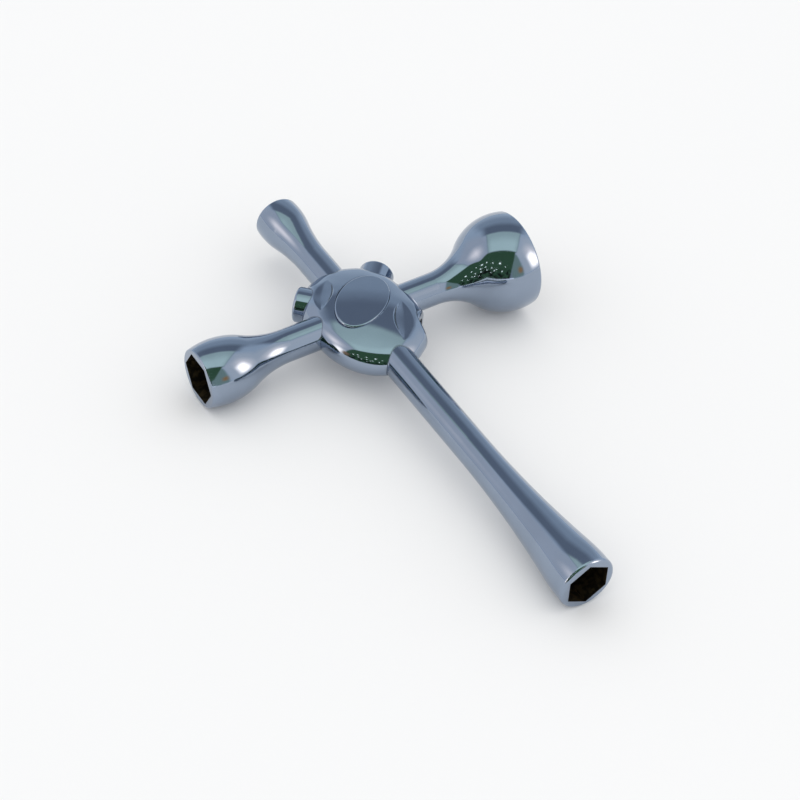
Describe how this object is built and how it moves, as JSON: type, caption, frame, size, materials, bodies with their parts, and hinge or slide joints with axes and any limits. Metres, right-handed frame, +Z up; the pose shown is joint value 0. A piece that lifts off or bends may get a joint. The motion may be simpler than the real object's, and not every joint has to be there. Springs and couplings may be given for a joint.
{
  "type": "cross wrench",
  "caption": "Small chrome cross wrench with flared socket arms of unequal length, a bell-shaped large socket and a domed hub with an oval medallion and short side sockets.",
  "frame": {"origin": "where the four arm axes cross, in the middle of the hub's thickness", "axes": "+X along the bell arm with the 17 mm socket, +Y along the 8 mm arm, -Y along the long 9 mm arm, +Z up through the hub and its medallion"},
  "size_m": [0.0811, 0.1265, 0.0228],
  "materials": {
    "arm_chrome": "bright polished chrome plate over steel; sockets left dark inside",
    "hub_chrome": "bright polished chrome plate over a zinc casting",
    "small_socket_chrome": "bright chrome plate; hexagons left dark inside",
    "medallion_chrome": "bright polished chrome plate, plain, with no mark",
    "pin_steel": "plain ground steel, hidden"
  },
  "bodies": {
    "root": {"hub_body": "hub_chrome", "bell_arm_17mm": "arm_chrome", "short_arm_8mm": "arm_chrome", "short_arm_10mm": "arm_chrome", "long_arm_9mm": "arm_chrome", "small_socket_5_5mm": "small_socket_chrome", "small_socket_5mm": "small_socket_chrome", "small_socket_4mm": "small_socket_chrome", "top_medallion": "medallion_chrome", "bottom_medallion": "medallion_chrome", "bell_arm_17mm_cross_pin": "pin_steel", "short_arm_8mm_cross_pin": "pin_steel", "short_arm_10mm_cross_pin": "pin_steel", "long_arm_9mm_cross_pin": "pin_steel"}
  },
  "joints": []
}
